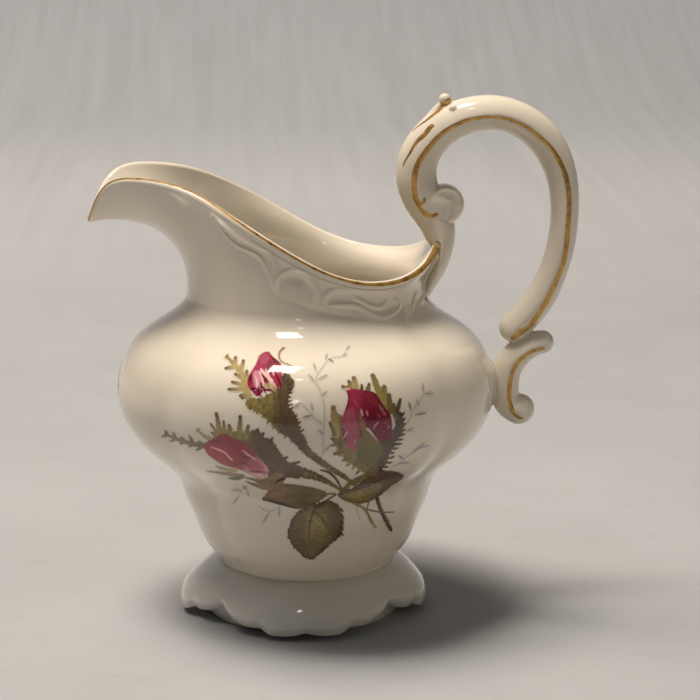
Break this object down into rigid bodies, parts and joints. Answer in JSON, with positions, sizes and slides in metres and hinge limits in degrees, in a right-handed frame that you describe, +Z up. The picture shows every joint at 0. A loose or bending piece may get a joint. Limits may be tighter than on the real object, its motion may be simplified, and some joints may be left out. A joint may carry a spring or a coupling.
{
  "type": "cream jug",
  "caption": "Porcelain cream jug with a lobed belly, a drooping beak spout, a high scroll handle and a scalloped hollow foot, with gilded rim and rose transfers.",
  "frame": {"origin": "centre of the pedestal foot, on the flat of its resting ring", "axes": "+Z up, +X towards the handle, -X towards the spout, -Y the side with the main rose spray"},
  "size_m": [0.1217, 0.0946, 0.1303],
  "materials": {
    "porcelain": "ivory glazed porcelain, opaque and glossy",
    "slip": "fired porcelain slip, glazed over",
    "gold": "fired burnished gold, slightly worn",
    "transfer": "printed enamel transfer fused into the glaze, rose and leaf colours"
  },
  "bodies": {
    "root": {"bowl": "porcelain", "neck_and_spout": "porcelain", "foot": "porcelain", "foot_slip_joint": "slip", "handle": "porcelain", "upper_handle_slip_joint": "slip", "lower_handle_slip_joint": "slip", "rim_gilding": "gold", "handle_gilding_front": "gold", "handle_gilding_back": "gold", "scroll_gilding_front": "gold", "scroll_gilding_back": "gold", "leaf_gilding_front": "gold", "leaf_gilding_back": "gold", "front_spray_transfer": "transfer", "back_spray_transfer": "transfer", "spout_sprig_transfer": "transfer"}
  },
  "joints": []
}
